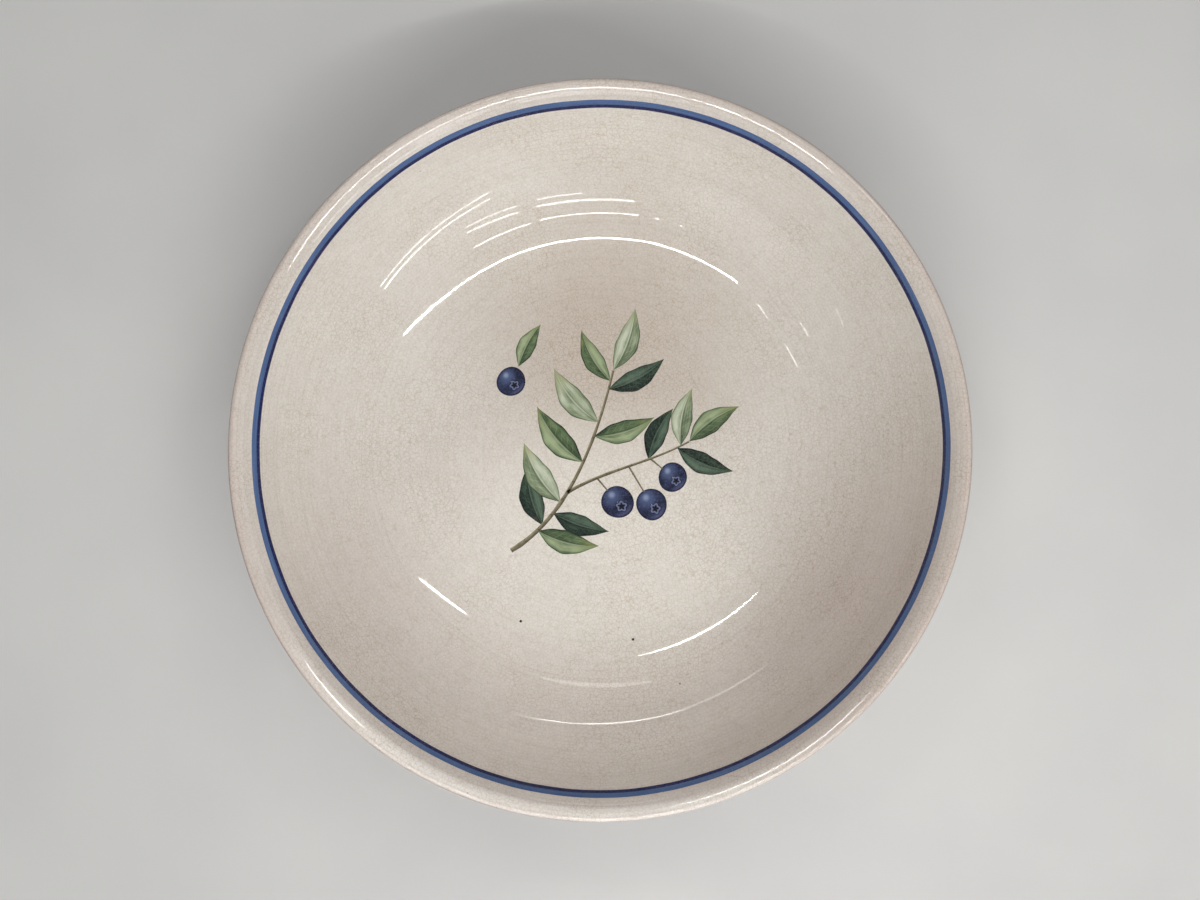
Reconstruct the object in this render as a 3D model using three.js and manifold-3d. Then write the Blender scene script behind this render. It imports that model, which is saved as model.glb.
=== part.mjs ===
// Serving bowl: a wide glazed bowl turned in one piece, with a level floor, a rolled lip and a foot ring,
// a blue band with a navy line inside the rim, and a berry sprig printed on the floor.
// Millimetres, +Z up. The origin is the middle of the circle that the foot stands on.

import * as THREE from "three";
import { mergeVertices } from "three/addons/utils/BufferGeometryUtils.js";
import Module from "manifold-3d";

// Driving dimensions of the turned body
const rimDiameter = 300; // over the glaze at the widest part of the lip
const height = 71; // from the table to the glazed crest of the lip
const floorDiameter = 132; // level part of the floor
const wallThickness = 6; // clay alone, in the floor and in the lower wall
const wallSlope = 60.5; // degrees from level, where the wall runs straight below the lip
const wallStraight = 12; // length of that straight stretch
const shoulderRadius = 10.6; // from the wall out to the rolled edge
const lipSlope = 20; // degrees from level, where the shoulder runs into the rolled edge
const lipRadius = 1.4; // rolled edge of the lip
const lipUnder = 50; // degrees that the rolled edge goes on round below its widest part

// Foot ring
const footHeight = 5;
const footWidth = 6;
const footInset = 3; // from the edge of the level floor in to the foot's outer side
const footFillet = 2; // where the foot meets the underside
const footEdge = 1.2; // rounding of the standing edge
const bareFoot = 2; // the foot is wiped clean of glaze up to here

// Coats
const glazeThickness = 0.4;
const inkThickness = 0.1;
const bondGap = 0.02; // between one coat and the next
const bandDrop = 0.3; // from the top of the straight wall down to the blue band
const blueBandWidth = 3.2;
const navyLineWidth = 1.2; // the line follows right below the band

// Printed sprig
const sprigMargin = 2; // clear level floor round the print
const sprigReach = 64; // from the middle of the sheet to its edge, as drawn
const inkGap = 0.3; // between two colours of the print
const stemWidth = 1.8; // at its cut end
const twigWidth = 1.3; // where it leaves the stem
const stalkWidth = 0.9;
const stemTaper = 0.5; // width of a stem's far end as a share of its near end
const leafSet = 1.6; // from the middle of a stem to the base of a leaf
const leafFullness = 0.85; // 1 has the widest part half way along; less moves it towards the base

// Facets
const turns = 48; // round the bowl
const kneeSteps = 6;
const shoulderSteps = 4;
const lipSteps = 4; // in the inner and in the outer part of the rolled edge
const neckSteps = 4; // up the outside from the knee to the lip
const filletSteps = 2;
const leafSteps = 7; // along one edge of a leaf
const stemSteps = 9; // along a stem
const berrySteps = 20; // round a berry
const weldDistance = 1e-3; // corners closer than this are one

// Materials
function fired(color, roughness) {
  return new THREE.MeshStandardMaterial({ color, roughness, metalness: 0 });
}
const bareClay = fired(0xc8ad90, 0.9);
const creamGlaze = fired(0xcdc3b6, 0.12);
const blueInk = fired(0x586da0, 0.18);
const navyInk = fired(0x141a3c, 0.18);
const stemInk = fired(0x75705a, 0.25);
const berryInk = fired(0x232d52, 0.25);
const leafInks = {
  light: fired(0x8f9d7e, 0.25),
  mid: fired(0x627550, 0.25),
  dark: fired(0x2c4036, 0.25),
};

// Section of the body: x is the distance from the axis and y is the height. The outside follows the inside at
// the thickness of the wall, and the face of a coat follows the clay at the thickness of the coat.
const quarter = Math.PI / 2;
const floorRadius = floorDiameter / 2;
const floorHeight = footHeight + wallThickness;
const footOuter = floorRadius - footInset;
const footInner = footOuter - footWidth;

function arc(centre, radius, from, to, steps) {
  return Array.from({ length: steps + 1 }, (_, i) => {
    const angle = from + ((to - from) * i) / steps;
    return new THREE.Vector2(
      centre.x + radius * Math.cos(angle),
      centre.y + radius * Math.sin(angle),
    );
  });
}

// The arc of the shoulder runs into the arc of the rolled edge
const rollStart = quarter + THREE.MathUtils.degToRad(lipSlope);
const lip = new THREE.Vector2(
  rimDiameter / 2 - glazeThickness - lipRadius,
  height - glazeThickness - lipRadius,
);
const shoulder = new THREE.Vector2(Math.cos(rollStart), Math.sin(rollStart))
  .multiplyScalar(lipRadius - shoulderRadius)
  .add(lip);

// The straight stretch of the wall runs into the arc of the shoulder: wallWay points up it, wallOut outside
const slope = THREE.MathUtils.degToRad(wallSlope);
const wallWay = new THREE.Vector2(Math.cos(slope), Math.sin(slope));
const wallOut = new THREE.Vector2(Math.sin(slope), -Math.cos(slope));
const wallTop = shoulder.clone().addScaledVector(wallOut, -shoulderRadius);
const wallFoot = wallTop.clone().addScaledVector(wallWay, -wallStraight);
const shoulderStart = slope + quarter; // where the arc leaves the straight stretch

// The knee is one curve from the level floor to the straight wall; it heads for where the two would meet
const kneeStart = new THREE.Vector2(floorRadius, floorHeight);
const kneeCorner = new THREE.Vector2(
  wallFoot.x - (wallFoot.y - floorHeight) / Math.tan(slope),
  floorHeight,
);
const knee = new THREE.QuadraticBezierCurve(kneeStart, kneeCorner, wallFoot);

// Outside, the wall thins up to the lip along one curve that is a little hollow under the rolled edge
const rollEnd = -THREE.MathUtils.degToRad(lipUnder);
const neckFoot = wallFoot.clone().addScaledVector(wallOut, wallThickness);
const neckTop = new THREE.Vector2(Math.cos(rollEnd), Math.sin(rollEnd))
  .multiplyScalar(lipRadius)
  .add(lip);
const neckPull = neckFoot.distanceTo(neckTop) / 3;
const neck = new THREE.CubicBezierCurve(
  neckFoot,
  neckFoot.clone().addScaledVector(wallWay, neckPull),
  new THREE.Vector2(Math.sin(rollEnd), -Math.cos(rollEnd)).multiplyScalar(neckPull).add(neckTop),
  neckTop,
);

// Points along a curve, `out` millimetres to the outside of it
function beside(curve, out, steps) {
  return Array.from({ length: steps + 1 }, (_, i) => {
    const way = curve.getTangent(i / steps);
    return curve.getPoint(i / steps).add(new THREE.Vector2(way.y * out, -way.x * out));
  });
}

const outerFillet = new THREE.Vector2(footOuter + footFillet, footHeight - footFillet);
const innerFillet = new THREE.Vector2(footInner - footFillet, footHeight - footFillet);
const outerEdge = new THREE.Vector2(footOuter - footEdge, footEdge);
const innerEdge = new THREE.Vector2(footInner + footEdge, footEdge);

// Stretches of the surface, clockwise round the section, each `out` millimetres off the clay
function onWall(drop, out) {
  return wallTop.clone().addScaledVector(wallWay, -drop).addScaledVector(wallOut, -out);
}

const navyTop = bandDrop + blueBandWidth;
const navyStretch = (out) => [onWall(navyTop + navyLineWidth, out), onWall(navyTop, out)];

const blueStretch = (out) => [onWall(navyTop, out), onWall(bandDrop, out)];

const insideStretch = (out) => [
  new THREE.Vector2(0, floorHeight + out),
  ...beside(knee, -out, kneeSteps),
  ...arc(shoulder, shoulderRadius + out, shoulderStart, rollStart, shoulderSteps),
  ...arc(lip, lipRadius + out, rollStart, 0, lipSteps).slice(1),
];

const outsideStretch = (out) => [
  ...arc(lip, lipRadius + out, 0, rollEnd, lipSteps),
  ...beside(neck, out, neckSteps).reverse().slice(1),
  ...beside(knee, wallThickness + out, kneeSteps).reverse().slice(1),
  ...arc(outerFillet, footFillet - out, quarter, 2 * quarter, filletSteps),
  new THREE.Vector2(footOuter + out, bareFoot),
];

const standingStretch = () => [
  ...arc(outerEdge, footEdge, 0, -quarter, filletSteps),
  ...arc(innerEdge, footEdge, -quarter, -2 * quarter, filletSteps),
];

const recessStretch = (out) => [
  new THREE.Vector2(footInner - out, bareFoot),
  ...arc(innerFillet, footFillet - out, 0, quarter, filletSteps),
  new THREE.Vector2(0, footHeight - out),
];

// Body, glaze and rim bands. They are turned about Y, and their group stands them up.
const turnedPieces = new THREE.Group();
turnedPieces.rotation.x = quarter;

function turn(name, section, material) {
  const facingOut = [...section].reverse();
  const piece = new THREE.Mesh(new THREE.LatheGeometry(facingOut, turns), material);
  piece.name = name;
  turnedPieces.add(piece);
}

// A coat over one stretch of the surface; one that stays off the axis closes on itself
function coat(stretch, under, over) {
  const section = [...stretch(over), ...stretch(under).reverse()];
  const ring = section[0].x > 0 && section.at(-1).x > 0;
  return ring ? [...section, section[0].clone()] : section;
}

const inkUnder = glazeThickness + bondGap;
const inkOver = inkUnder + inkThickness;

turn(
  "clay_body",
  [...insideStretch(0), ...outsideStretch(0).slice(1), ...standingStretch(), ...recessStretch(0)],
  bareClay,
);
turn("inside_glaze", coat(insideStretch, bondGap, glazeThickness), creamGlaze);
turn("outside_glaze", coat(outsideStretch, bondGap, glazeThickness), creamGlaze);
turn("recess_glaze", coat(recessStretch, bondGap, glazeThickness), creamGlaze);
turn("navy_rim_line", coat(navyStretch, inkUnder, inkOver), navyInk);
turn("blue_rim_band", coat(blueStretch, inkUnder, inkOver), blueInk);

// Printed sprig: films of ink on the glazed floor, cut from one sheet that is let out or in to suit the level
// floor. The colours at the front cut back those behind them.
const print = new THREE.Group();
print.position.z = floorHeight + inkUnder;
const sheetScale = (floorRadius - sprigMargin) / sprigReach;
print.scale.set(sheetScale, sheetScale, 1);

const main = new THREE.CubicBezierCurve(
  new THREE.Vector2(-40, -45),
  new THREE.Vector2(-19, -33),
  new THREE.Vector2(-4, -6),
  new THREE.Vector2(6, 36),
);
const twig = new THREE.CubicBezierCurve(
  main.getPoint(0.46),
  new THREE.Vector2(4, -8),
  new THREE.Vector2(22, -6),
  new THREE.Vector2(40, 4),
);

// Leaves from the front of the print to the back: the stem, the share of the way along it, the degrees that
// the leaf turns to the left of it, length, width, and the bow of the midrib as a share of the length
const leaves = [
  { stem: main, at: 1.0, turned: -6, length: 28, width: 10, bow: -0.07, ink: leafInks.light },
  { stem: main, at: 0.8, turned: 58, length: 30, width: 11, bow: 0.09, ink: leafInks.light },
  { stem: main, at: 0.4, turned: 66, length: 30, width: 11.5, bow: 0.08, ink: leafInks.light },
  { stem: twig, at: 0.93, turned: 52, length: 25, width: 9.5, bow: 0.08, ink: leafInks.light },
  { stem: main, at: 0.96, turned: 44, length: 25, width: 9, bow: 0.08, ink: leafInks.mid },
  { stem: main, at: 0.74, turned: -52, length: 27, width: 10, bow: -0.08, ink: leafInks.mid },
  { stem: main, at: 0.62, turned: 64, length: 31, width: 11.5, bow: 0.08, ink: leafInks.mid },
  { stem: main, at: 0.2, turned: -58, length: 27, width: 10.5, bow: -0.08, ink: leafInks.mid },
  { stem: twig, at: 1.0, turned: 6, length: 26, width: 10, bow: 0.07, ink: leafInks.mid },
  { stem: main, at: 0.93, turned: -46, length: 27, width: 9.5, bow: -0.08, ink: leafInks.dark },
  { stem: main, at: 0.24, turned: 58, length: 26, width: 10.5, bow: 0.07, ink: leafInks.dark },
  { stem: main, at: 0.33, turned: -70, length: 25, width: 9.5, bow: -0.06, ink: leafInks.dark },
  { stem: twig, at: 0.9, turned: -48, length: 26, width: 9.5, bow: -0.08, ink: leafInks.dark },
  { stem: twig, at: 0.66, turned: 44, length: 24, width: 9.5, bow: 0.08, ink: leafInks.dark },
];

// Berries on stalks that leave the twig to the right
const berries = [
  { at: 0.24, turned: -72, stalk: 7, diameter: 14.5 },
  { at: 0.5, turned: -78, stalk: 13, diameter: 14 },
  { at: 0.68, turned: -60, stalk: 6.5, diameter: 13 },
];

// A leaf and a berry that lie by themselves
const looseLeaf = { length: 20, width: 8, bow: 0.06 };
const looseLeafBase = new THREE.Vector2(-36, 39);
const looseLeafHeading = THREE.MathUtils.degToRad(62);
const looseBerry = { diameter: 13 };
const looseBerryMiddle = new THREE.Vector2(-40, 31);

const wasm = await Module();
wasm.setup();

function film(outline) {
  const sheet = new THREE.ExtrudeGeometry(new THREE.Shape(outline), {
    depth: inkThickness,
    bevelEnabled: false,
  });
  const welded = mergeVertices(sheet.deleteAttribute("normal").deleteAttribute("uv"), weldDistance);
  return new wasm.Manifold(
    new wasm.Mesh({
      numProp: 3,
      vertProperties: welded.attributes.position.array,
      triVerts: new Uint32Array(welded.index.array),
    }),
  );
}

function shares(steps) {
  return Array.from({ length: steps + 1 }, (_, i) => i / steps);
}

// Each outline can be let out by `grow`, which is what the colours behind it keep clear of
function leafFilm(leaf, base, turnedTo, grow) {
  const length = leaf.length + 4 * grow;
  const half = leaf.width / 2 + grow;
  const edge = (share, side) => {
    const midrib = leaf.bow * leaf.length * 4 * share * (1 - share);
    const across = half * Math.sin(Math.PI * share ** leafFullness);
    return new THREE.Vector2(share * length - 2 * grow, midrib + side * across)
      .rotateAround(new THREE.Vector2(), turnedTo)
      .add(base);
  };
  const along = shares(leafSteps);
  const there = along.map((share) => edge(share, -1));
  const back = along.slice(1, -1).reverse().map((share) => edge(share, 1));
  return film([...there, ...back]);
}

function stemFilm(curve, width, grow) {
  const edge = (share, side) => {
    const half = (width * (1 - (1 - stemTaper) * share)) / 2 + grow;
    const left = curve.getTangent(share).rotateAround(new THREE.Vector2(), quarter);
    return curve.getPoint(share).addScaledVector(left, side * half);
  };
  const along = shares(stemSteps);
  const there = along.map((share) => edge(share, -1));
  const back = along.reverse().map((share) => edge(share, 1));
  return film([...there, ...back]);
}

function berryFilm(berry, middle, grow) {
  return film(arc(middle, berry.diameter / 2 + grow, 0, 4 * quarter, berrySteps).slice(0, -1));
}

// The heading of a leaf or stalk that leaves a stem, and a point on its way
function leave(stem, at, turned, distance) {
  const way = stem.getTangent(at).angle() + THREE.MathUtils.degToRad(turned);
  const point = stem.getPoint(at);
  point.x += distance * Math.cos(way);
  point.y += distance * Math.sin(way);
  return { way, point };
}

let printed = null;

function lay(name, filmGrownBy, material) {
  const whole = filmGrownBy(0);
  const visible = (printed ? whole.subtract(printed) : whole).getMesh();
  const geometry = new THREE.BufferGeometry()
    .setAttribute("position", new THREE.BufferAttribute(visible.vertProperties, 3))
    .setIndex(new THREE.BufferAttribute(visible.triVerts, 1));
  const piece = new THREE.Mesh(geometry, material);
  piece.name = name;
  print.add(piece);
  printed = printed ? printed.add(filmGrownBy(inkGap)) : filmGrownBy(inkGap);
}

function stalk(berry) {
  const end = leave(twig, berry.at, berry.turned, berry.stalk - inkGap).point;
  return new THREE.LineCurve(twig.getPoint(berry.at), end);
}

const stemsFilm = (grow) =>
  berries.reduce(
    (joined, berry) => joined.add(stemFilm(stalk(berry), stalkWidth, grow)),
    stemFilm(main, stemWidth, grow).add(stemFilm(twig, twigWidth, grow)),
  );
lay("sprig_stems", stemsFilm, stemInk);

berries.forEach((berry, i) => {
  const middle = leave(twig, berry.at, berry.turned, berry.stalk + berry.diameter / 2).point;
  lay("sprig_berry_" + (i + 1), (grow) => berryFilm(berry, middle, grow), berryInk);
});

leaves.forEach((leaf, i) => {
  const { way, point } = leave(leaf.stem, leaf.at, leaf.turned, leafSet);
  lay("sprig_leaf_" + (i + 1), (grow) => leafFilm(leaf, point, way, grow), leaf.ink);
});

lay("loose_berry", (grow) => berryFilm(looseBerry, looseBerryMiddle, grow), berryInk);
lay(
  "loose_leaf",
  (grow) => leafFilm(looseLeaf, looseLeafBase, looseLeafHeading, grow),
  leafInks.mid,
);

const bowl = new THREE.Group();
bowl.add(turnedPieces, print);

export default bowl;
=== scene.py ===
import math

import bpy
from mathutils import Matrix, Vector


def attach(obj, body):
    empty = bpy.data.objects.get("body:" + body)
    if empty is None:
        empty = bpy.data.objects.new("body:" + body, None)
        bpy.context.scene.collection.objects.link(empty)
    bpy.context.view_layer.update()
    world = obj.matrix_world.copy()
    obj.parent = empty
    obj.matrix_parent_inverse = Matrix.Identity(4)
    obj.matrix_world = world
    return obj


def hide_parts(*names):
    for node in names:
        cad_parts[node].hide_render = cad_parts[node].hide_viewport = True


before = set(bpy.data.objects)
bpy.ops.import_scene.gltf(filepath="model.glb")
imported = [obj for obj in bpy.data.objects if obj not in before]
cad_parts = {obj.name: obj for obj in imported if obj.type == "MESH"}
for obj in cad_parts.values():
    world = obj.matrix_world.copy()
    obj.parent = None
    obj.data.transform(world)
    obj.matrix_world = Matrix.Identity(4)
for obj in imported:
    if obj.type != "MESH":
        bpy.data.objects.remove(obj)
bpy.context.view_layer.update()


# Clay body. One piece of pale stoneware, pressed into a mould on the wheel with its foot ring, and fired.
# Glaze hides all of it except the standing edge of the foot, which is wiped clean before the glaze firing.
mm = 0.001
quarter = math.pi / 2
rim_radius = 150 * mm
bowl_height = 71 * mm
floor_radius = 66 * mm
wall_thickness = 6 * mm
wall_slope = math.radians(60.5)
wall_straight = 12 * mm
shoulder_radius = 10.6 * mm
lip_slope = math.radians(20)
lip_radius = 1.4 * mm
lip_under = math.radians(50)
foot_height = 5 * mm
foot_outer = 63 * mm
foot_inner = 57 * mm
foot_fillet = 2 * mm
foot_edge = 1.2 * mm
glaze_thickness = 0.4 * mm
bond_gap = 0.02 * mm
rim_oval, rim_corners = 0.35 * mm, 0.10 * mm
rim_saddle, rim_ripple = 0.25 * mm, 0.10 * mm
turns = 240
coarse = 0.34
on_axis = 1e-7
sharp_from = math.radians(50)

floor_height = foot_height + wall_thickness
wall_way = Vector((math.cos(wall_slope), math.sin(wall_slope)))
wall_out = Vector((math.sin(wall_slope), -math.cos(wall_slope)))
shoulder_start = wall_slope + quarter
roll_start = lip_slope + quarter
lip = Vector((rim_radius - glaze_thickness - lip_radius, bowl_height - glaze_thickness - lip_radius))
shoulder = lip + (lip_radius - shoulder_radius) * Vector((math.cos(roll_start), math.sin(roll_start)))
wall_top = shoulder - shoulder_radius * wall_out
wall_foot = wall_top - wall_straight * wall_way


def arc(centre, radius, start, end, steps):
    angles = [start + (end - start) * i / steps for i in range(steps + 1)]
    return [centre + radius * Vector((math.cos(a), math.sin(a))) for a in angles]


def straight(start, end, steps):
    return [start.lerp(end, i / steps) for i in range(steps + 1)]


def beside_knee(out, steps):
    """The curve from the level floor to the straight wall, as many metres outside it as asked."""
    start = Vector((floor_radius, floor_height))
    reach = (wall_foot.y - floor_height) / math.tan(wall_slope)
    corner = Vector((wall_foot.x - reach, floor_height))
    points = []
    for i in range(steps + 1):
        t = i / steps
        way = (start.lerp(corner, t) - corner.lerp(wall_foot, t)).normalized()
        middle = start.lerp(corner, t).lerp(corner.lerp(wall_foot, t), t)
        points.append(middle + out * Vector((-way.y, way.x)))
    return points


def inside_stretch(out, fine):
    """The inside of the section from the middle of the floor over the lip to its widest part."""
    level = Vector((0, floor_height + out))
    foot = wall_foot - out * wall_out
    top = wall_top - out * wall_out
    return (
        straight(level, Vector((floor_radius, level.y)), round(14 * fine))[:-1]
        + beside_knee(-out, round(90 * fine))
        + straight(foot, top, round(14 * fine))[1:]
        + arc(shoulder, shoulder_radius + out, shoulder_start, roll_start, round(26 * fine))[1:]
        + arc(lip, lip_radius + out, roll_start, 0, round(26 * fine))[1:]
    )


def curve_point(curve, share):
    a, b, c, d = curve
    left = 1 - share
    return left**3 * a + 3 * left**2 * share * b + 3 * left * share**2 * c + share**3 * d


def curve_way(curve, share):
    a, b, c, d = curve
    left = 1 - share
    way = left**2 * (b - a) + 2 * left * share * (c - b) + share**2 * (d - c)
    return math.atan2(way.y, way.x)


# Outside, the wall thins up to the lip along one curve that is a little hollow under the rolled edge
neck_foot = wall_foot + wall_thickness * wall_out
neck_top = lip + lip_radius * Vector((math.cos(lip_under), -math.sin(lip_under)))
neck_pull = (neck_top - neck_foot).length / 3
neck = (
    neck_foot,
    neck_foot + neck_pull * wall_way,
    neck_top - neck_pull * Vector((math.sin(lip_under), math.cos(lip_under))),
    neck_top,
)


def beside_neck(out, steps):
    points = []
    for i in range(steps + 1):
        way = curve_way(neck, i / steps)
        points.append(curve_point(neck, i / steps) + out * Vector((math.sin(way), -math.cos(way))))
    return points


def outside_stretch(out, fine):
    """The outside of the section from the widest part of the lip down to the foot."""
    under = Vector((foot_outer + foot_fillet, foot_height - foot_fillet))
    return (
        arc(lip, lip_radius + out, 0, -lip_under, round(18 * fine))
        + beside_neck(out, round(40 * fine))[-2::-1]
        + beside_knee(wall_thickness + out, round(60 * fine))[-2::-1]
        + arc(under, foot_fillet - out, quarter, 2 * quarter, round(12 * fine))
    )


def recess_stretch(out, fine):
    """The underside from the foot's inner side to the axis."""
    corner = Vector((foot_inner - foot_fillet, foot_height - foot_fillet))
    fillet = arc(corner, foot_fillet - out, 0, quarter, round(12 * fine))
    middle = Vector((0, foot_height - out))
    return fillet + straight(fillet[-1], middle, round(14 * fine))[1:]


def hand_made(point, angle):
    """Fired ware is never quite round or level: the rim is a little oval and waves up and down."""
    spread = (point.x / rim_radius) ** 2
    rise = max(0, (point.y - floor_height) / bowl_height) ** 2
    wider = rim_oval * math.cos(2 * angle - 1.2) + rim_corners * math.cos(3 * angle + 0.9)
    higher = rim_saddle * math.cos(2 * angle - 3.4) + rim_ripple * math.cos(5 * angle)
    return point.x + spread * wider, point.y + rise * higher


def turned(name, section, moved=hand_made):
    """Turns a section about the axis of the wheel and keeps each point's place in the section."""
    points, faces, places, rings = [], [], [], []
    for number, point in enumerate(section):
        count = 1 if point.x < on_axis else turns
        rings.append(range(len(points), len(points) + count))
        for turn in range(count):
            angle = 2 * math.pi * turn / turns
            radius, height = moved(point, angle)
            points.append((radius * math.cos(angle), radius * math.sin(angle), height))
            places.append((number / (len(section) - 1), math.cos(angle), math.sin(angle)))
    for first, second in zip(rings, rings[1:] + rings[:1]):
        for turn in range(turns):
            there, here = (turn + 1) % turns, turn
            if len(first) == 1 and len(second) == 1:
                break
            if len(first) == 1:
                faces.append((first[0], second[here], second[there]))
            elif len(second) == 1:
                faces.append((first[here], second[0], first[there]))
            else:
                faces.append((first[here], second[here], second[there], first[there]))
    return solid(name, points, faces, places)


def solid(name, points, faces, places):
    mesh = bpy.data.meshes.new(name)
    mesh.from_pydata(points, [], faces)
    mesh.shade_smooth()
    mesh.set_sharp_from_angle(angle=sharp_from)
    where = mesh.attributes.new("place", "FLOAT_VECTOR", "POINT")
    where.data.foreach_set("vector", [number for place in places for number in place])
    made = bpy.data.objects.new(name, mesh)
    bpy.context.scene.collection.objects.link(made)
    return made


class Shade:
    """A socket of a material's nodes that can stand in an expression."""

    def __init__(self, tree, socket=None):
        self.tree = tree
        self.socket = socket

    def node(self, kind, settings=None, sockets=None, output=0):
        made = self.tree.nodes.new(kind)
        for name, value in (settings or {}).items():
            if name == "stops":
                ramp = made.color_ramp.elements
                while len(ramp) < len(value):
                    ramp.new(1.0)
                for stop, (position, colour) in zip(ramp, value):
                    stop.position, stop.color = position, colour
            else:
                setattr(made, name, value)
        for name, value in (sockets or {}).items():
            if isinstance(value, Shade):
                self.tree.links.new(value.socket, made.inputs[name])
            else:
                made.inputs[name].default_value = value
        return Shade(self.tree, made.outputs[output] if made.outputs else None)

    def other(self, output):
        return Shade(self.tree, self.socket.node.outputs[output])

    def maths(self, operation, first, second=0.0):
        return self.node("ShaderNodeMath", {"operation": operation}, {0: first, 1: second})

    def __add__(self, value):
        return self.maths("ADD", self, value)

    def __sub__(self, value):
        return self.maths("SUBTRACT", self, value)

    def __rsub__(self, value):
        return self.maths("SUBTRACT", value, self)

    def __mul__(self, value):
        return self.maths("MULTIPLY", self, value)

    def __pow__(self, value):
        return self.maths("POWER", self, value)

    def __abs__(self):
        return self.maths("ABSOLUTE", self)

    __radd__ = __add__
    __rmul__ = __mul__

    def rise(self, low, high):
        """0 up to low, 1 from high on, and a smooth step between; it falls where low is the greater."""
        sockets = {"Value": self, "From Min": low, "From Max": high}
        return self.node("ShaderNodeMapRange", {"interpolation_type": "SMOOTHSTEP"}, sockets)

    def blend(self, first, second, way="MIX"):
        """The colour that lies between two colours by this value."""
        settings = {"data_type": "RGBA", "blend_type": way}
        return self.node("ShaderNodeMix", settings, {0: self, 6: first, 7: second}, 2)

    def noise(self, scale, detail=2.0, rough=0.5):
        """Cloudy values from 0 to 1 over this place, about `scale` clouds to the metre."""
        sockets = {"Vector": self, "Scale": scale, "Detail": detail, "Roughness": rough}
        return self.node("ShaderNodeTexNoise", None, sockets)

    def parts(self):
        first = self.node("ShaderNodeSeparateXYZ", None, {0: self})
        return first, first.other(1), first.other(2)

    def joined(self, x, y, z):
        return self.node("ShaderNodeCombineXYZ", None, {0: x, 1: y, 2: z})


def paint(red, green, blue):
    """A colour as a paint chart gives it, 0 to 255, for a shader socket."""
    shares = [value / 255 for value in (red, green, blue)]
    linear = [s / 12.92 if s <= 0.04045 else ((s + 0.055) / 1.055) ** 2.4 for s in shares]
    return (*linear, 1.0)


def surface(name):
    material = bpy.data.materials.new(name)
    material.use_nodes = True
    material.node_tree.nodes.clear()
    start = Shade(material.node_tree)
    return material, start.node("ShaderNodeTexCoord", None, None, "Object")


def fire(place, colour, roughness, relief, glow=None):
    """Closes a material: colour, roughness and glow as given, and relief in millimetres as its bump."""
    sockets = {"Height": relief, "Distance": mm, "Strength": 1.0}
    normal = place.node("ShaderNodeBump", None, sockets)
    sockets = {"Base Color": colour, "Roughness": roughness, "Normal": normal, "IOR": 1.5}
    if glow is not None:
        sockets |= {"Emission Color": glow, "Emission Strength": 1.0}
    body = place.node("ShaderNodeBsdfPrincipled", None, sockets)
    place.node("ShaderNodeOutputMaterial", None, {"Surface": body})


def belongs(piece, node, slot, material):
    piece.data.materials.append(material)
    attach(piece, "root")
    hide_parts(node)


def standing_edge():
    steps = 8
    outer = Vector((foot_outer - foot_edge, foot_edge))
    inner = Vector((foot_inner + foot_edge, foot_edge))
    round_outer = arc(outer, foot_edge, 0, -quarter, steps)
    return round_outer + arc(inner, foot_edge, -quarter, -2 * quarter, steps)


fired_clay, place = surface("fired_clay")
grain = place.noise(900, 4.0, 0.65)
lump = place.noise(140, 3.0)
grit = place.node("ShaderNodeTexVoronoi", None, {"Vector": place, "Scale": 700.0})
pit = grit.rise(0.32, 0.12) * lump.rise(0.45, 0.62)
height = place.parts()[2]
rubbed = height.rise(0.6 * mm, 0.1 * mm) * place.noise(60, 3.0).rise(0.42, 0.6)
tone = lump.rise(0.3, 0.7).blend(paint(188, 160, 130), paint(208, 184, 156))
tone = (grain.rise(0.35, 0.75) * 0.5).blend(tone, paint(166, 138, 110))
tone = (pit * 0.6).blend(tone, paint(112, 88, 66))
tone = (rubbed * 0.45).blend(tone, paint(140, 122, 104))
fire(place, tone, 0.92 - rubbed * 0.22, grain * 0.05 - pit * 0.06)

body = turned(
    "turned_body",
    inside_stretch(0, coarse)
    + outside_stretch(0, coarse)[1:]
    + standing_edge()
    + recess_stretch(0, coarse),
)
belongs(body, "clay_body", "clay", fired_clay)


# Inside glaze. A warm cream glaze poured into the bowl: glossy, a little uneven from the wheel's rings,
# crazed all over in fine cells, with a few iron specks, and thin and pinkish where it runs off the lip.
def wheel_rings(path):
    """The height of the wheel's rings by the way out from the middle: two waves, 10 and 16 mm long."""
    way = path / mm
    return mm * (
        0.010 * math.sin(way / 1.55 + 0.8 * math.sin(way / 11.0))
        + 0.014 * math.sin(way / 2.60 + 1.3 + 1.1 * math.sin(way / 17.0))
    )


def coat(name, over, under, moved=hand_made):
    return turned(name, over + under[::-1], moved)


def ringed(section, start, end):
    """The same section with the wheel's rings, from one distance along it to full strength at another."""
    path, result = 0.0, [section[0]]
    for before, here, after in zip(section, section[1:], section[2:]):
        path += (here - before).length
        share = min(1, max(0, (path - start) / (end - start)))
        way = (after - before).normalized()
        lift = wheel_rings(path) * share * share * (3 - 2 * share)
        result.append(here + lift * Vector((-way.y, way.x)))
    return result + [section[-1]]


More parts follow.
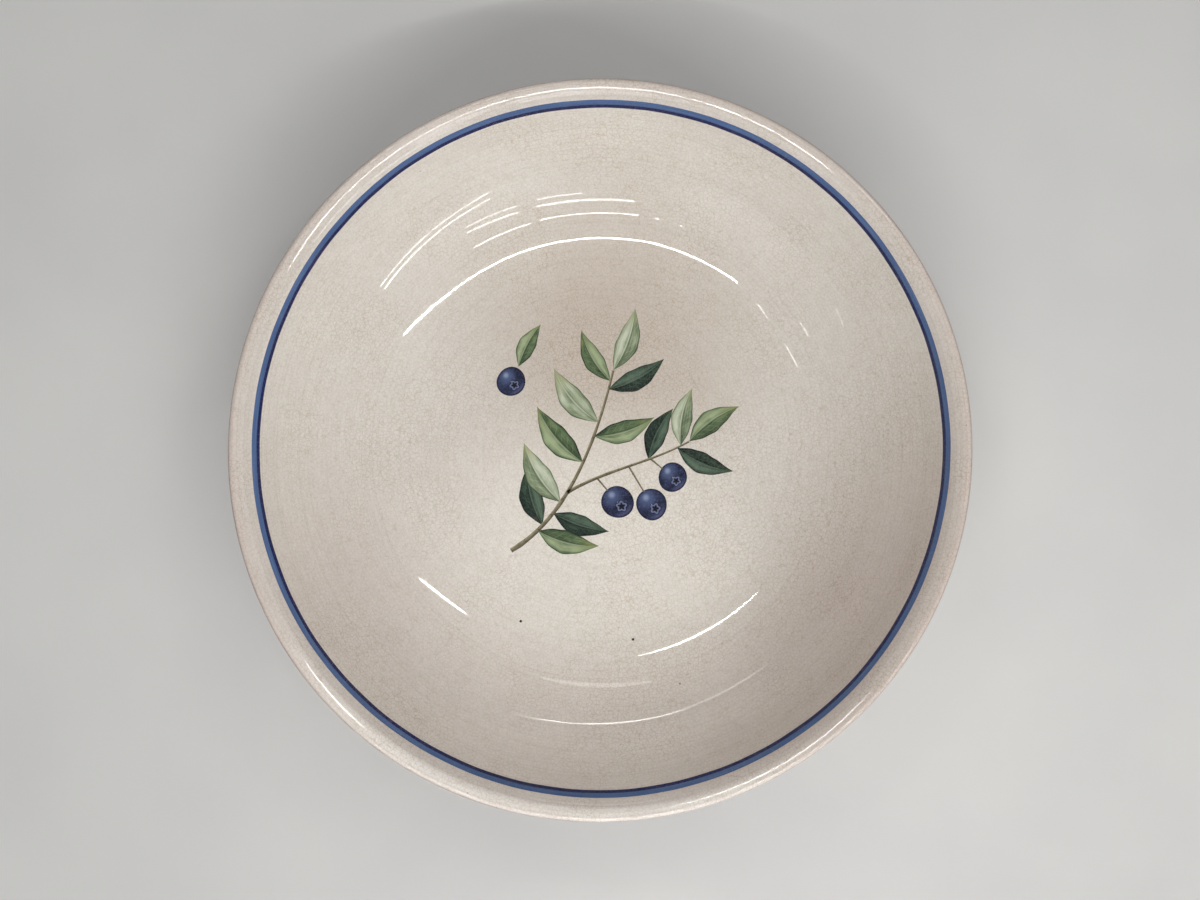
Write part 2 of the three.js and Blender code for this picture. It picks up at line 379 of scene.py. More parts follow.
def crazed(place):
    """Fine brown cracks and long ones in the glaze, strong in some patches and nearly healed in others."""
    cells, slabs, wander = 600.0, 125.0, 1.6 * mm
    sockets = {"Vector": place, "Scale": 320.0, "Detail": 1.0}
    drift = place.node("ShaderNodeTexNoise", None, sockets, "Color")
    drift = place.node("ShaderNodeVectorMath", {"operation": "SUBTRACT"}, {0: drift, 1: (0.5, 0.5, 0.5)})
    drift = place.node("ShaderNodeVectorMath", {"operation": "SCALE"}, {0: drift, "Scale": wander})
    bent = place.node("ShaderNodeVectorMath", {"operation": "ADD"}, {0: place, 1: drift})
    settings = {"feature": "DISTANCE_TO_EDGE"}
    fine = place.node("ShaderNodeTexVoronoi", settings, {"Vector": bent, "Scale": cells})
    long = place.node("ShaderNodeTexVoronoi", settings, {"Vector": bent, "Scale": slabs})
    patch = place.noise(28, 2.0).rise(0.38, 0.64)
    return fine.rise(0.095, 0.010) * (0.55 + 0.45 * patch), long.rise(0.018, 0.003) * patch


def specked(place, spots):
    """Iron specks at places seen from above: millimetres right and up of the middle, radius, strength."""
    x, y, _ = place.parts()
    flat = place.joined(x, y, 0.0)
    ragged = place.noise(2600, 1.0) * (0.25 * mm)
    core, rim = 0.02, 0.28
    mask = None
    for across, up, radius, strength in spots:
        sockets = {0: flat, 1: (across * mm, up * mm, 0.0)}
        away = place.node("ShaderNodeVectorMath", {"operation": "DISTANCE"}, sockets, "Value") + ragged
        spot = away.rise((radius + rim) * mm, (radius + core) * mm) * strength
        mask = spot if mask is None else mask.maths("MAXIMUM", mask, spot)
    return mask


def plain_cream(place):
    return place.noise(22, 3.0).rise(0.3, 0.7).blend(paint(208, 203, 197), paint(211, 207, 201))


def melted(place):
    """The relief of glaze that has run smooth in the kiln, in millimetres."""
    return place.noise(330, 1.0) * 0.0018 + place.noise(75, 1.0) * 0.012


def cream(place, ground, run, rough_places):
    """Colour, roughness and relief of the glaze on a ground colour; run is the way out over the surface."""
    cloud = place.noise(22, 3.0)
    mottle = place.noise(210, 3.0, 0.6)
    ring = place.node(
        "ShaderNodeTexNoise",
        {"noise_dimensions": "1D"},
        {"W": run + cloud * (3 * mm), "Scale": 420.0, "Detail": 3.0, "Roughness": 0.6},
    )
    streak = place.node(
        "ShaderNodeTexNoise",
        {"noise_dimensions": "1D"},
        {"W": run + cloud * (2 * mm), "Scale": 1300.0, "Detail": 1.0},
    )
    fine, long = crazed(place)
    grain = place.noise(1300, 2.0, 0.7)
    darker, brown = paint(229, 225, 219), paint(209, 190, 163)
    colour = (mottle.rise(0.3, 0.75) * 0.25).blend(ground, darker, "MULTIPLY")
    colour = (ring.rise(0.45, 0.8) * 0.22).blend(colour, darker, "MULTIPLY")
    colour = (streak.rise(0.5, 0.75) * rough_places * 0.26).blend(colour, darker, "MULTIPLY")
    colour = (grain.rise(0.42, 0.72) * 0.42).blend(colour, darker, "MULTIPLY")
    colour = (fine * 0.44 + long * 0.16).blend(colour, brown, "MULTIPLY")
    pin = place.node("ShaderNodeTexVoronoi", None, {"Vector": place, "Scale": 95.0, "Randomness": 1.0})
    chosen = pin.other("Color").rise(0.86, 0.90)
    pinhole = pin.rise(0.035, 0.018) * chosen
    colour = (pinhole * 0.6).blend(colour, paint(120, 96, 74))
    relief = melted(place) + ring * 0.0012 * rough_places
    roughness = 0.02 + mottle * 0.02 + (fine + long) * 0.04
    return colour, roughness, relief


def off_middle(place, right, up):
    """The distance over the floor from a point that lies right and up of the middle."""
    x, y, _ = place.parts()
    return ((x - right) * (x - right) + (y - up) * (y - up)) ** 0.5


inside_cream, place = surface("inside_cream_glaze")
x, y, height = place.parts()
radius = (x * x + y * y) ** 0.5
tone = plain_cream(place)
patch_edge_noise = place.noise(16, 3.0)
# Painted shade: a darker patch over the upper part of the floor and wall.
painted_shade_upper_floor = (off_middle(place, 0.004, 0.050) + patch_edge_noise * 0.06).rise(0.120, 0.045)
tone = (painted_shade_upper_floor * 0.66).blend(tone, paint(186, 173, 161))
# Painted light: a paler patch over the lower part of the floor, weaker up the wall.
pale = off_middle(place, -0.002, -0.064) + patch_edge_noise * 0.05
pale = pale.rise(0.130, 0.060) * (0.34 + 0.46 * radius.rise(125 * mm, 80 * mm))
tone = pale.blend(tone, paint(229, 225, 218))
# Painted shade: the wall and lip on the right, a little below the middle, are darker.
painted_shade_right_wall = (x * 0.87 - y * 0.50 + patch_edge_noise * 0.02).rise(0.090, 0.155)
tone = (painted_shade_right_wall * 0.32).blend(tone, paint(178, 162, 150))
warm = radius.rise(78 * mm, 110 * mm) * y.rise(40 * mm, -60 * mm)
tone = warm.blend(tone, paint(251, 247, 247), "MULTIPLY")
runoff = place.noise(45, 3.0)
lip_tone = radius.rise(141.6 * mm, 143.0 * mm)
tone = (lip_tone * 0.6).blend(tone, paint(194, 188, 183))
# Painted light: the outer part of the lip is paler along the lower side.
painted_light_lower_lip = (x * -0.21 - y * 0.98 + runoff * 0.02).rise(0.090, 0.145) * radius.rise(143.5 * mm, 146.5 * mm)
tone = (painted_light_lower_lip * 0.85).blend(tone, paint(238, 236, 232))
thin = (radius + runoff * (3.0 * mm)).rise(145.5 * mm, 151.0 * mm)
tone = (thin * 0.4).blend(tone, paint(194, 178, 170))
# Painted shade: a darker line along the outermost edge of the lip.
painted_shade_lip_edge = (radius + runoff * (0.5 * mm)).rise(149.0 * mm, 150.1 * mm)
tone = (painted_shade_lip_edge * 0.5).blend(tone, paint(152, 130, 118))
tone, gloss, relief = cream(place, tone, radius + height, radius.rise(70 * mm, 112 * mm))
iron = specked(
    place,
    [
        (-35.5, -76.5, 0.56, 1.0),
        (14.8, -84.6, 0.54, 1.0),
        (35.1, -102.4, 0.36, 0.7),
        (39.8, -94.4, 0.20, 0.5),
        (82.3, 34.2, 0.22, 0.6),
        (76.6, 40.1, 0.20, 0.5),
        (59.7, 55.9, 0.20, 0.5),
        (-84.9, -25.7, 0.22, 0.6),
        (89.0, -30.5, 0.22, 0.6),
    ],
)
tone = iron.blend(tone, paint(30, 24, 24))
fire(place, tone, gloss, relief)

glaze_inside = coat(
    "glaze_inside",
    ringed(inside_stretch(glaze_thickness, 1), 70 * mm, 115 * mm),
    inside_stretch(bond_gap, coarse),
)
belongs(glaze_inside, "inside_glaze", "glaze", inside_cream)


# Outside glaze, and the glaze in the recess under the floor. The bowl is dipped in the same cream glaze,
# which runs thin off the lip, gathers in the hollow under it and ends in a bead where the foot is wiped.
bare_foot = 2 * mm


def wiped(point, angle):
    """The sponge leaves the glaze's lower edge a little uneven."""
    radius, height = hand_made(point, angle)
    near = max(0, 1 - abs(point.y - bare_foot) / (1.4 * mm))
    return radius, height + near * mm * (0.16 * math.cos(3 * angle + 1) + 0.09 * math.cos(11 * angle))


def bead(side, facing):
    """The rounded lower edge of the glaze on one side of the foot."""
    outline = [(0.40, 2.85), (0.44, 2.65), (0.47, 2.45), (0.45, 2.28)]
    outline += [(0.36, 2.13), (0.20, 2.03), (0.05, 2.0)]
    return [Vector((side + facing * out * mm, up * mm)) for out, up in outline]


outside_cream, place = surface("outside_cream_glaze")
x, y, height = place.parts()
radius = (x * x + y * y) ** 0.5
tone = plain_cream(place)
runoff = place.noise(45, 3.0)
off_lip = (radius + runoff * (1.6 * mm)).rise(147.5 * mm, 150.6 * mm) * height.rise(64 * mm, 67 * mm)
gathered = height.rise(56 * mm, 62 * mm) * height.rise(67 * mm, 63.5 * mm)
tone = (off_lip * 0.7).blend(tone, paint(168, 138, 124))
tone = (gathered * 0.30).blend(tone, paint(196, 184, 160))
edge = (height + place.noise(160, 2.0) * (0.5 * mm)).rise(3.3 * mm, 2.3 * mm)
tone = (edge * 0.6).blend(tone, paint(176, 140, 108))
tone, gloss, relief = cream(place, tone, radius + height, 1.0)
fire(place, tone, gloss, relief)

glaze_outside = coat(
    "glaze_outside",
    ringed(outside_stretch(glaze_thickness, 1), 30 * mm, 45 * mm) + bead(foot_outer, 1),
    outside_stretch(bond_gap, coarse) + [Vector((foot_outer + bond_gap, bare_foot))],
    wiped,
)
belongs(glaze_outside, "outside_glaze", "glaze", outside_cream)

glaze_recess = coat(
    "glaze_recess",
    bead(foot_inner, -1)[::-1] + ringed(recess_stretch(glaze_thickness, 1), 4 * mm, 9 * mm),
    [Vector((foot_inner - bond_gap, bare_foot))] + recess_stretch(bond_gap, coarse),
    wiped,
)
belongs(glaze_recess, "recess_glaze", "glaze", outside_cream)


# Rim line and rim band. A navy line and a wider blue band in ceramic colour, put on with a loaded brush
# while the bowl turns on a banding wheel, then fired into the glaze at the top of the straight wall.
ink_under = glaze_thickness + 0.008 * mm
ink_over = glaze_thickness + 0.035 * mm
band_drop = 0.0
blue_width = 2.7 * mm
navy_width = 1.7 * mm
navy_top = band_drop + blue_width
navy_foot = navy_top + navy_width
off_wheel = 1.0 * mm


def on_wall(drop, out):
    """A point by the way down from the top of the straight wall, or up from it round the shoulder."""
    if drop >= 0:
        return wall_top - drop * wall_way - out * wall_out
    turn = shoulder_start + drop / shoulder_radius
    return shoulder + (shoulder_radius + out) * Vector((math.cos(turn), math.sin(turn)))


def brushed(point, angle):
    """The bowl sat a little off the wheel's middle, and the brush's edges wander, the lower one most."""
    off = point - wall_top
    drop, out = -off.dot(wall_way), -off.dot(wall_out)
    wander = 0.09 * math.sin(7 * angle + 0.4) + 0.06 * math.sin(17 * angle + 2.0)
    wander = mm * (wander + 0.05 * math.sin(41 * angle))
    rise = off_wheel * math.cos(angle - 1.05) + wander * (0.5 + 0.5 * drop / navy_foot)
    return hand_made(on_wall(drop - rise, out), angle)


def drawn(place):
    """The place of a point in its own band, stem, berry or leaf, as the one who drew it would give it."""
    return place.node("ShaderNodeAttribute", {"attribute_name": "place"}, None, "Vector").parts()


def banded(name, dark, body, pale):
    material, place = surface(name)
    across, along, beside = drawn(place)
    bristles = place.joined(across * 9.0, along * 7.0, beside * 7.0).noise(1.0, 3.0)
    load = place.joined(along * 2.3, beside * 2.3, 0.0).noise(1.0, 2.0)
    # The face of the band is the first half of its section, and its colour pools at both edges
    pool = abs(across * 4.0 - 1.0).rise(0.62, 1.0)
    value = 0.45 + (bristles - 0.5) * 0.9 + (load - 0.5) * 0.7 - pool * 0.22
    ramp = {"stops": [(0.0, dark), (0.5, body), (1.0, pale)]}
    tone = place.node("ShaderNodeValToRGB", ramp, {0: value})
    fine, long = crazed(place)
    tone = ((fine + long) * 0.10).blend(tone, paint(150, 140, 140))
    fire(place, tone, 0.09 + bristles * 0.05, melted(place))
    return material


def band(name, foot, top, steps):
    over = straight(on_wall(foot, ink_over), on_wall(top, ink_over), steps)
    return coat(name, over, straight(on_wall(foot, ink_under), on_wall(top, ink_under), steps), brushed)


navy_ink = banded("navy_line", paint(4, 9, 46), paint(7, 16, 72), paint(22, 38, 106))
rim_line = band("rim_line", navy_foot, navy_top, 8)
belongs(rim_line, "navy_rim_line", "navy", navy_ink)
blue_ink = banded("blue_band", paint(46, 71, 114), paint(64, 92, 138), paint(92, 119, 160))
rim_band = band("rim_band", navy_top, band_drop, 14)
belongs(rim_band, "blue_rim_band", "blue", blue_ink)


# Sprig stems. A main stem and a side twig with three berry stalks, printed from a transfer in grey-brown
# ceramic colour on the level floor and fired under a skin of glaze, so it shines as the floor does.
print_under = floor_height + ink_under
film_thickness = 0.02 * mm
film_step = 0.004 * mm
stem_layer = 18


def sheet(*corners):
    return [Vector(corner) * mm for corner in corners]


main_stem = sheet((-40, -45), (-19, -33), (-4, -6), (6, 36))
fork = curve_point(main_stem, 0.46) / mm
twig = sheet(fork, (4, -8), (22, -6), (40, 4))


def toward(point, heading, distance):
    return point + distance * Vector((math.cos(heading), math.sin(heading)))


def film(name, strips, layer):
    """Lays films of ink on the floor from rows of (point, place); a higher layer lies over a lower one."""
    low = print_under
    high = print_under + film_thickness + layer * film_step
    points, faces, places = [], [], []
    for rows in strips:
        start, wide, count = len(points), len(rows[0]), len(rows) * len(rows[0])
        for level in (high, low):
            for row in rows:
                for point, where in row:
                    points.append((point.x, point.y, level))
                    places.append(where)

        def corner(i, j, under):
            return start + under * count + i * wide + j

        for i in range(len(rows) - 1):
            for j in range(wide - 1):
                quad = [(i, j), (i + 1, j), (i + 1, j + 1), (i, j + 1)]
                faces.append([corner(a, b, 0) for a, b in quad])
                faces.append([corner(a, b, 1) for a, b in reversed(quad)])
        edge = [(i, 0) for i in range(len(rows))] + [(len(rows) - 1, j) for j in range(1, wide)]
        edge += [(i, wide - 1) for i in range(len(rows) - 2, -1, -1)]
        edge += [(0, j) for j in range(wide - 2, 0, -1)]
        for (a, b), (c, d) in zip(edge, edge[1:] + edge[:1]):
            faces.append((corner(c, d, 0), corner(a, b, 0), corner(a, b, 1), corner(c, d, 1)))
    return solid(name, points, faces, places)


def stem_rows(curve, near, far, own):
    """Rows across a stem that tapers from near to far and swells a little at its knots."""
    rows, steps = [], 60
    sides = (1.0, 0.5, 0.0, -0.5, -1.0)
    for i in range(steps + 1):
        share = i / steps
        left = curve_way(curve, share) + quarter
        knot = 1 + 0.16 * max(0, math.sin(share * 19 + own * 3)) ** 6
        half = (near + (far - near) * share) / 2 * knot * mm
        middle = curve_point(curve, share)
        rows.append([(toward(middle, left, half * side), (share, side, own)) for side in sides])
    return rows


def line_curve(start, end):
    return [start, start.lerp(end, 1 / 3), start.lerp(end, 2 / 3), end]


# Where each berry leaves the twig: share of the way, degrees to its left, stalk and diameter
sprig_berries = [(0.24, -72, 7.0, 14.5), (0.50, -78, 13.0, 14.0), (0.68, -60, 6.5, 13.0)]


def stalk_way(at, turned_by):
    return curve_way(twig, at) + math.radians(turned_by)


def floor_gloss(place):
    """Cracks and relief of the glaze skin over the print, which are the floor's own."""
    fine, long = crazed(place)
    return fine + long, melted(place)


stem_ink, place = surface("stem_print")
along, across, own = drawn(place)
streak = place.joined(along * 22.0, across * 1.6, own * 9.0).noise(1.0, 3.0)
value = 0.45 + across * 0.34 + (streak - 0.5) * 0.8
browns = [(0.0, paint(62, 54, 42)), (0.45, paint(112, 104, 82)), (1.0, paint(168, 160, 134))]
tone = place.node("ShaderNodeValToRGB", {"stops": browns}, {0: value})
scars = along * 60.0 + streak * 3.0
tone = (scars.maths("SINE", scars).rise(0.93, 1.0) * 0.6).blend(tone, paint(60, 50, 40))
cracks, relief = floor_gloss(place)
tone = (cracks * 0.08).blend(tone, paint(170, 156, 132))
fire(place, tone, 0.10 + streak * 0.04, relief)

stem_strips = [stem_rows(main_stem, 2.1, 1.0, 0.1), stem_rows(twig, 1.5, 0.75, 0.5)]
for number, (at, turned_by, stalk, diameter) in enumerate(sprig_berries):
    start = curve_point(twig, at)
    end = toward(start, stalk_way(at, turned_by), (stalk + 0.4) * mm)
    stem_strips.append(stem_rows(line_curve(start, end), 0.9, 0.6, 0.7 + 0.1 * number))
stems = film("sprig_stem_print", stem_strips, stem_layer)
belongs(stems, "sprig_stems", "stem", stem_ink)


# Berries. Round dark fruit of the print, three on the twig and one by itself, in navy ceramic colour with a
# pale bloom on the side of the light and a small crown where the flower was.
berry_ink, place = surface("berry_print")
across, up, own = drawn(place)
away = (across * across + up * up) ** 0.5
bloom = place.joined(across * 1.6, up * 1.6, own * 7.0).noise(1.0, 3.0)
dots = place.joined(across * 9.0, up * 9.0, own * 7.0).noise(1.0, 2.0)


def from_spot(right, above):
    """The distance over a berry from one of its points, in berry radii."""
    return ((across - right) * (across - right) + (up - above) * (up - above)) ** 0.5


tone = bloom.rise(0.3, 0.7).blend(paint(22, 26, 50), paint(40, 46, 78))
tone = (from_spot(-0.30, 0.36).rise(0.85, 0.05) * (0.55 + 0.45 * bloom)).blend(tone, paint(82, 97, 136))
tone = (from_spot(-0.36, 0.44).rise(0.30, 0.04) * 0.6).blend(tone, paint(150, 163, 190))
tone = (dots.rise(0.55, 0.75) * 0.14).blend(tone, paint(140, 150, 182))
glow = (across * 0.62 - up * 0.78).rise(0.48, 0.86) * away.rise(0.98, 0.86)
tone = (glow * 0.5).blend(tone, paint(88, 92, 132))
tone = (away.rise(0.84, 1.0) * 0.75).blend(tone, paint(11, 13, 30))
crown_right, crown_up = 0.24, -0.26
turn = place.maths("ARCTAN2", up - crown_up, across - crown_right) * 5.0 + own * 6.0
sepals = place.maths("COSINE", turn)
crown = from_spot(crown_right, crown_up) + sepals * 0.05
tone = (crown.rise(0.34, 0.27) * crown.rise(0.15, 0.24)).blend(tone, paint(104, 112, 142))
tone = crown.rise(0.20, 0.13).blend(tone, paint(9, 10, 24))
tone = (abs(crown - 0.33).rise(0.05, 0.0) * 0.8).blend(tone, paint(14, 16, 36))
cracks, relief = floor_gloss(place)
tone = (cracks * 0.07).blend(tone, paint(120, 122, 140))
fire(place, tone, 0.09 + bloom * 0.04, relief)


def berry(name, node, middle, diameter, own, layer):
    """A printed berry: a disc of ink, a little out of round."""
    rings, steps = 8, 64
    rows = []
    for i in range(rings + 1):
        share = max(i / rings, 0.02)
        row = []
        for turn in range(steps + 1):
            angle = 2 * math.pi * turn / steps
            swell = 1 + 0.025 * math.cos(2 * angle + own * 5) + 0.012 * math.cos(3 * angle + own * 9)
            point = toward(middle, angle, share * swell * diameter / 2 * mm)
            row.append((point, (share * math.cos(angle), share * math.sin(angle), own)))
        rows.append(row)
    fruit = film(name, [rows], layer)
    belongs(fruit, node, "berry", berry_ink)


berry_layer = 17
for number, (at, turned_by, stalk, diameter) in enumerate(sprig_berries):
    middle = toward(curve_point(twig, at), stalk_way(at, turned_by), (stalk + diameter / 2) * mm)
    own = 0.2 + 0.27 * number
    berry(f"berry_print_{number + 1}", f"sprig_berry_{number + 1}", middle, diameter, own, berry_layer)
berry("berry_print_loose", "loose_berry", Vector((-40, 31)) * mm, 13.0, 0.9, berry_layer)


# Leaves. Narrow leaves along stem and twig in three greens, and one that lies by itself. Each is a film of
# ceramic colour with its own midrib, veins and washes; those in front lie over those behind.
def leaf_ink(name, deep, body, pale, tip):
    material, place = surface(name)
    along, across, own = drawn(place)
    half = abs(across)
    wash = place.joined(along * 4.0, across * 1.2, own * 31.0).noise(1.0, 3.0)
    stroke = place.joined(along * 3.0, across * 9.0, own * 17.0).noise(1.0, 3.0, 0.6)
    left = across.rise(-0.06, 0.06)
    turned_over = own.rise(0.49, 0.51)
    lit = left + turned_over * (1.0 - 2.0 * left)
    value = 0.22 + lit * 0.26 + (wash - 0.5) * 1.1 + (stroke - 0.5) * 0.7
    value = value + along.rise(0.05, 0.45) * 0.20 - half.rise(0.72, 1.0) * 0.18
    value = value + half.rise(0.1, 0.45) * half.rise(0.95, 0.5) * lit * along.rise(1.0, 0.5) * 0.32
    greens = [(0.0, deep), (0.45, body), (1.0, pale)]
    tone = place.node("ShaderNodeValToRGB", {"stops": greens}, {0: value})
    tone = (along.rise(0.55, 1.0) * wash.rise(0.35, 0.7) * 0.75).blend(tone, tip)
    vein = along * 8.5 - half * 1.6 + wash * 0.6
    vein = abs(vein.maths("FRACT", vein) - 0.5).rise(0.08, 0.0)
    vein = vein * half.rise(0.95, 0.6) * along.rise(0.05, 0.2)
    tone = (vein * 0.28).blend(tone, pale)
    tone = (half.rise(0.26, 0.03) * (1.0 - lit) * along.rise(1.0, 0.6) * 0.8).blend(tone, deep)
    rib = half.rise(0.10, 0.03) * along.rise(1.0, 0.8) * (0.35 + 0.65 * lit)
    tone = (rib * 0.85).blend(tone, pale)
    edge = (half + (stroke - 0.5) * 0.12).rise(0.86, 0.97)
    tone = (edge * (0.95 - lit * 0.45)).blend(tone, deep)
    cracks, relief = floor_gloss(place)
    tone = (cracks * 0.07).blend(tone, paint(176, 170, 148))
    fire(place, tone, 0.09 + wash * 0.05, relief)
    return material


pale_greens = paint(58, 72, 54), paint(128, 142, 112), paint(192, 198, 178), paint(142, 142, 78)
mid_greens = paint(28, 42, 32), paint(84, 104, 72), paint(152, 165, 130), paint(122, 124, 58)
dark_greens = paint(10, 20, 20), paint(32, 50, 42), paint(84, 104, 88), paint(58, 74, 46)
leaf_inks = {
    "light": leaf_ink("pale_leaf_print", *pale_greens),
    "mid": leaf_ink("green_leaf_print", *mid_greens),
    "dark": leaf_ink("dark_leaf_print", *dark_greens),
}


def leaf(name, node, ink, base, heading, length, width, bow, own, layer):
    """A leaf that narrows to its stalk and to a drawn-out tip, with its midrib bowed to one side."""
    steps, half_steps, stalk = 48, 6, 1.3
    rows = []
    for i in range(steps + 1):
        share = i / steps
        full = math.sin(math.pi * share**0.85) ** 1.12
        half = max(width / 2 * full, 0.22 * (1 - share) + 0.02)
        half *= 1 + 0.03 * math.sin(share * 23 + own * 40)
        along = share * (length + stalk) - stalk
        rib = bow * length * 4 * share * (1 - share)
        row = []
        for step in range(half_steps, -half_steps - 1, -1):
            side = step / half_steps
            point = Vector((along, rib + side * half)) * mm
            point.rotate(Matrix.Rotation(heading, 2))
            row.append((base + point, (share, side, own)))
        rows.append(row)
    blade = film(name, [rows], layer)
    belongs(blade, node, "leaf_" + ink, leaf_inks[ink])


# From the front of the print to the back: stem, share of the way along it, degrees to its left, length,
# width, bow and ink
leaf_set = 1.6 * mm
top_leaf_layer = 15
loose_leaf_layer = 2
sprig_leaves = [
    (main_stem, 1.00, -6, 28, 10.0, -0.07, "light"),
    (main_stem, 0.80, 58, 30, 11.0, 0.09, "light"),
    (main_stem, 0.40, 66, 30, 11.5, 0.08, "light"),
    (twig, 0.93, 52, 25, 9.5, 0.08, "light"),
    (main_stem, 0.96, 44, 25, 9.0, 0.08, "mid"),
    (main_stem, 0.74, -52, 27, 10.0, -0.08, "mid"),
    (main_stem, 0.62, 64, 31, 11.5, 0.08, "mid"),
    (main_stem, 0.20, -58, 27, 10.5, -0.08, "mid"),
    (twig, 1.00, 6, 26, 10.0, 0.07, "mid"),
    (main_stem, 0.93, -46, 27, 9.5, -0.08, "dark"),
    (main_stem, 0.24, 58, 26, 10.5, 0.07, "dark"),
    (main_stem, 0.33, -70, 25, 9.5, -0.06, "dark"),
    (twig, 0.90, -48, 26, 9.5, -0.08, "dark"),
    (twig, 0.66, 44, 24, 9.5, 0.08, "dark"),
]
for number, (stem, at, turned_by, length, width, bow, ink) in enumerate(sprig_leaves):
    heading = curve_way(stem, at) + math.radians(turned_by)
    base = toward(curve_point(stem, at), heading, leaf_set)
    own = (0.13 + 0.37 * number) % 1
    name, node, layer = f"leaf_print_{number + 1}", f"sprig_leaf_{number + 1}", top_leaf_layer - number
    leaf(name, node, ink, base, heading, length, width, bow, own, layer)
loose_base, loose_heading = Vector((-36, 39)) * mm, math.radians(62)
leaf(
    "leaf_print_loose", "loose_leaf", "mid", loose_base, loose_heading,
    length=20, width=8, bow=0.06, own=0.35, layer=loose_leaf_layer,
)


# Table, light and camera. A plain pale table, rows of narrow lamps on two sides of the bowl and a soft pale
# room round them, seen from straight above.
table_paint, place = surface("table_paint")
cloud = place.noise(9, 3.0)
tone = cloud.rise(0.3, 0.7).blend(paint(196, 196, 196), paint(201, 201, 200))
away = off_middle(place, 0.0, 0.0)
seen = place.node("ShaderNodeLightPath", None, None, "Is Camera Ray")
seen = seen + seen.other("Is Glossy Ray") + seen.other("Is Transmission Ray")
unlit, far_tone = (0.0, 0.0, 0.0, 1.0), (0.28, 0.28, 0.28, 1.0)
far_light = (away.rise(0.45, 2.2) * seen).blend(unlit, far_tone)
fire(place, tone, 0.6 + cloud * 0.1, place.noise(400, 2.0) * 0.01, far_light)
reach = 40.0
corners = [(-reach, -reach, 0), (reach, -reach, 0), (reach, reach, 0), (-reach, reach, 0)]
mesh = bpy.data.meshes.new("table")
mesh.from_pydata(corners, [], [(0, 1, 2, 3)])
mesh.materials.append(table_paint)
table = bpy.data.objects.new("table", mesh)
table.location.z = -0.05 * mm
bpy.context.scene.collection.objects.link(table)


def row_lamp(name, shape, start, end, height, width, strength):
    """A lamp between two points at one height that faces the bowl; strength is in watts to the metre."""
    start, end = Vector((*start, height)), Vector((*end, height))
    middle = (start + end) / 2
    lamp = bpy.data.lights.new(name, "AREA")
    lamp.shape, lamp.size, lamp.size_y = shape, (end - start).length, width
    lamp.energy, lamp.color = strength * lamp.size, (1.0, 0.985, 0.96)
    made = bpy.data.objects.new(name, lamp)
    along = (end - start).normalized()
    facing = (middle - along * middle.dot(along)).normalized()
    turn = Matrix((along, facing.cross(along), facing)).transposed()
    made.matrix_world = Matrix.Translation(middle) @ turn.to_4x4()
    made.visible_camera = False
    bpy.context.scene.collection.objects.link(made)


low, high = 0.62, 1.2
# Name, height, width, strength, and the two ends of each lamp in the row, in metres
tube_rows = [
    (
        "near_row", low, 0.010, 3.7,
        [(0.413, -0.245), (0.122, -0.314)],
        [(0.118, -0.314), (-0.079, -0.329)],
    ),
    ("near_row_end", low, 0.011, 3.5, [(-0.083, -0.329), (-0.235, -0.291)]),
    (
        "second_row", high, 0.035, 2.5,
        [(0.793, -1.27), (0.420, -1.36)],
        [(0.373, -1.403), (-0.230, -1.425)],
    ),
    (
        "second_row_end", high, 0.04, 2.6,
        [(-0.330, -1.411), (-0.354, -1.411)],
        [(-0.487, -1.365), (-0.503, -1.365)],
    ),
    (
        "third_row", high, 0.04, 2.1,
        [(1.189, -1.944), (0.671, -1.933)],
        [(0.526, -1.991), (-0.273, -2.005)],
    ),
    (
        "fourth_row", high, 0.04, 1.7,
        [(1.442, -2.364), (0.828, -2.413)],
        [(0.653, -2.486), (0.173, -2.473)],
    ),
    (
        "last_row", low, 0.026, 2.0,
        [(1.519, -1.136), (1.029, -2.342)],
        [(1.996, -1.502), (1.628, -3.853)],
    ),
    (
        "side_row", low, 0.008, 0.4,
        [(-0.256, -0.239), (-0.258, -0.204)],
        [(-0.284, -0.161), (-0.313, -0.134)],
    ),
    (
        "side_row_end", low, 0.02, 0.8,
        [(-0.551, -0.354), (-0.571, -0.314)],
        [(-2.087, -1.266), (-1.927, -0.979)],
    ),
]
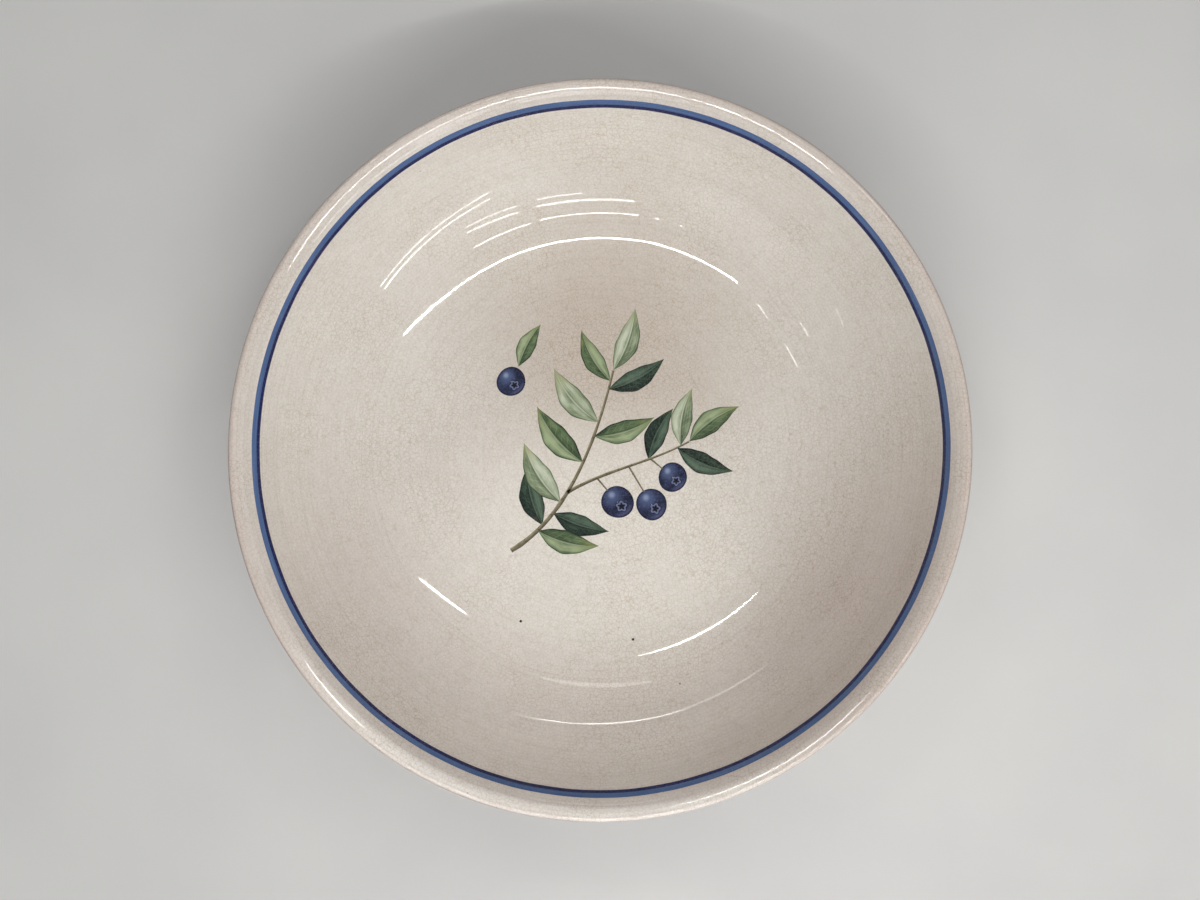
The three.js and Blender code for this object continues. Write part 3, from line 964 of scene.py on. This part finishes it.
slim_oval_rows = [
    ("far_row", low, 0.014, 2.6, [(-0.055, 0.275), (-0.242, 0.216)]),
    ("far_row_end", low, 0.011, 2.6, [(0.333, 0.236), (0.186, 0.231)]),
    ("far_second_row", low, 0.06, 0.45, [(0.150, 0.575), (-0.158, 0.640)]),
    ("far_last_row", low, 0.035, 1.5, [(0.56, 2.50), (-0.75, 2.14)]),
    (
        "far_last_row_end", low, 0.03, 0.5,
        [(0.92, 2.74), (0.30, 2.40)],
        [(-0.62, 2.10), (-1.326, 1.622)],
    ),
]
for shape, rows in (("RECTANGLE", tube_rows), ("ELLIPSE", slim_oval_rows)):
    for name, height, width, strength, *lamps in rows:
        for number, (start, end) in enumerate(lamps):
            row_lamp(f"{name}_{number + 1}", shape, start, end, height, width, strength)

world = bpy.data.worlds.new("pale_room")
world.use_nodes = True
world.node_tree.nodes.clear()
way = Shade(world.node_tree).node("ShaderNodeTexCoord", None, None, "Generated")


def glow_from(turn, height, narrow=6):
    """Soft light that grows towards one side of the room: degrees round from the right, and degrees up."""
    turn, height = math.radians(turn), math.radians(height)
    side = (math.cos(turn) * math.cos(height), math.sin(turn) * math.cos(height), math.sin(height))
    facing = way.node("ShaderNodeVectorMath", {"operation": "DOT_PRODUCT"}, {0: way, 1: side}, "Value")
    return facing.maths("MAXIMUM", facing, 0.0) ** narrow


room = 0.16 + glow_from(0, 90) * 0.12 + glow_from(275, 30) * 0.50 + glow_from(40, 30) * 0.62
room = room + glow_from(238, 16, 20) * 1.1 + glow_from(305, 14, 20) * 0.8
air = way.node("ShaderNodeBackground", None, {"Color": (1.0, 1.0, 1.0, 1.0), "Strength": room})
way.node("ShaderNodeOutputWorld", None, {"Surface": air})
bpy.context.scene.world = world

camera_height = 571 * mm
image_width, rim_pixels = 1200, 372
camera = bpy.data.cameras.new("camera")
camera.sensor_width = 36.0
camera.lens = camera.sensor_width * rim_pixels / image_width * (camera_height - lip.y) / rim_radius
above = bpy.data.objects.new("camera", camera)
above.location = (0.0, 0.2 * mm, camera_height)
bpy.context.scene.collection.objects.link(above)
bpy.context.scene.camera = above
bpy.context.scene.view_settings.view_transform = "Standard"
